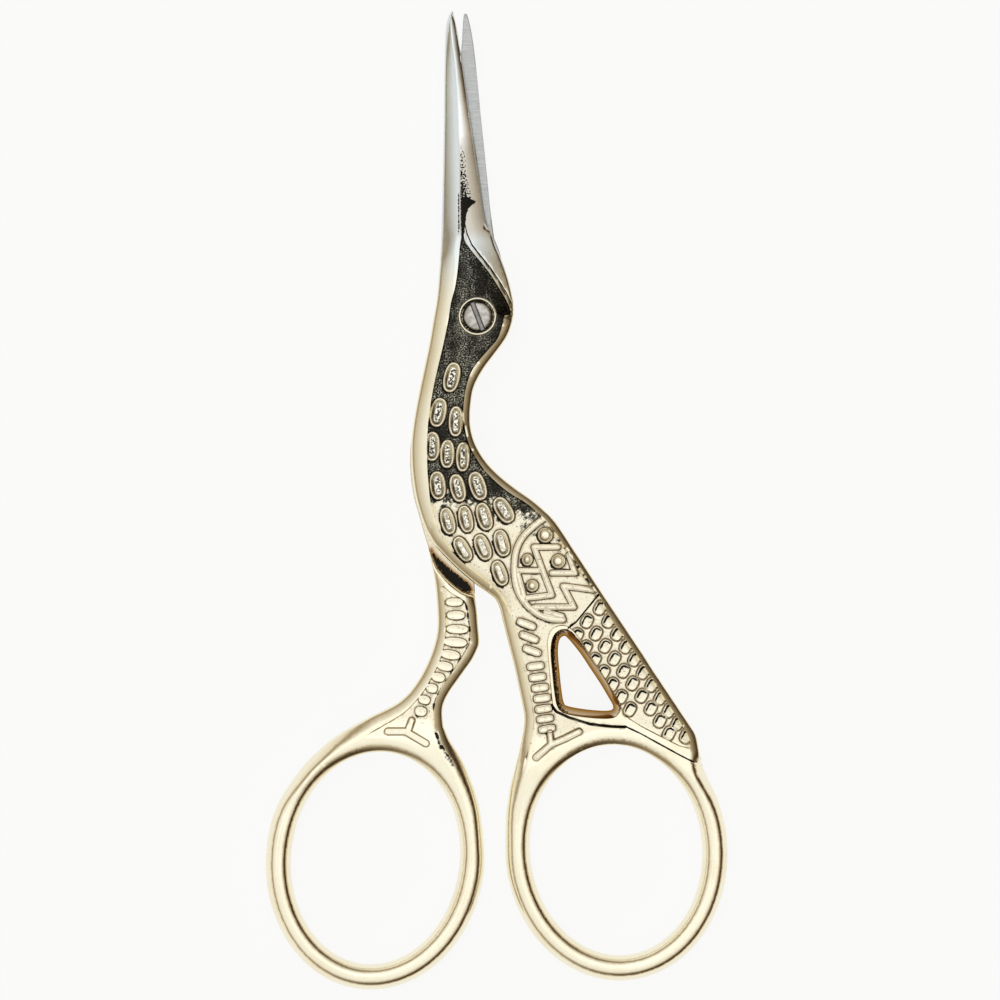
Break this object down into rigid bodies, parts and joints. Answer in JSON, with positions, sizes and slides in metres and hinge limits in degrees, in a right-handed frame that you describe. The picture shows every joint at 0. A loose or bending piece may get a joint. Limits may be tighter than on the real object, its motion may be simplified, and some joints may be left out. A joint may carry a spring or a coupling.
{
  "type": "stork embroidery scissors",
  "caption": "Small bird-shaped embroidery scissors: two plated steel halves with long fine blades and oval finger bows, turning on one slotted screw.",
  "frame": {"origin": "the pivot screw's axis where it meets the plane that the closed scissors rest on", "axes": "+Y from the pivot to the blade tips, +X to the side of the tail, +Z along the screw out of its head"},
  "size_m": [0.0436, 0.092, 0.0036],
  "materials": {
    "gilt_steel": "steel, gold plated on the bird and the bows, bare and polished on the blades",
    "screw_steel": "plain turned steel"
  },
  "bodies": {
    "back": {"back_half": "gilt_steel", "pivot_screw": "screw_steel"},
    "front": {"front_half": "gilt_steel"}
  },
  "joints": [
    {"name": "blade_pivot", "type": "hinge", "parent": "back", "child": "front", "pos_m": [0, 0, 0], "axis": [0, 0, 1], "range_deg": [-2, 80]}
  ]
}
